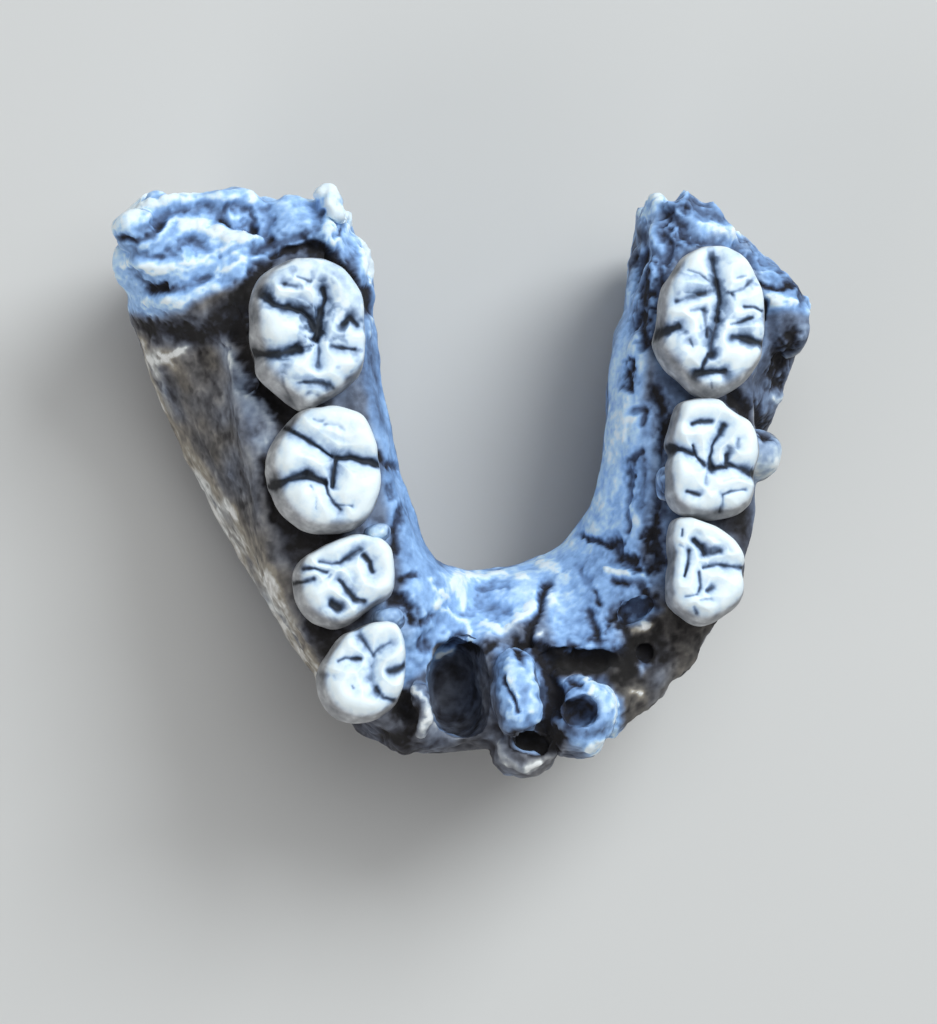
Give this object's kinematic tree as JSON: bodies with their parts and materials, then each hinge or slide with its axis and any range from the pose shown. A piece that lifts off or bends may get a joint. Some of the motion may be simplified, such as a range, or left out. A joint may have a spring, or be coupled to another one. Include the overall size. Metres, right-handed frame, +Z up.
{
  "type": "hominin lower jaw cast",
  "caption": "Life-size cast of a fossil hominin lower jaw, V-shaped arch with worn molars, open front tooth sockets and broken ramus roots, lying on its lower border.",
  "frame": {"origin": "middle of the bounding box in plan, on the floor that the lower border rests on", "axes": "+X towards the jaw's own left side, +Y backwards from the chin to the broken ramus roots, +Z up from the lower border to the chewing surfaces"},
  "size_m": [0.076, 0.0642, 0.0366],
  "materials": {
    "ramus_root_right": "painted cast, pale blue-grey broken face, matte",
    "corpus_right": "painted cast, mottled slate and warm grey bone with pale glossy teeth",
    "symphysis": "painted cast, pale blue-grey bone with dark sockets",
    "corpus_left": "painted cast, mottled slate and warm grey bone with pale glossy teeth",
    "ramus_root_left": "painted cast, pale blue-grey broken face, matte"
  },
  "bodies": {
    "root": {"ramus_root_right": "ramus_root_right", "corpus_right": "corpus_right", "symphysis": "symphysis", "corpus_left": "corpus_left", "ramus_root_left": "ramus_root_left"}
  },
  "joints": []
}
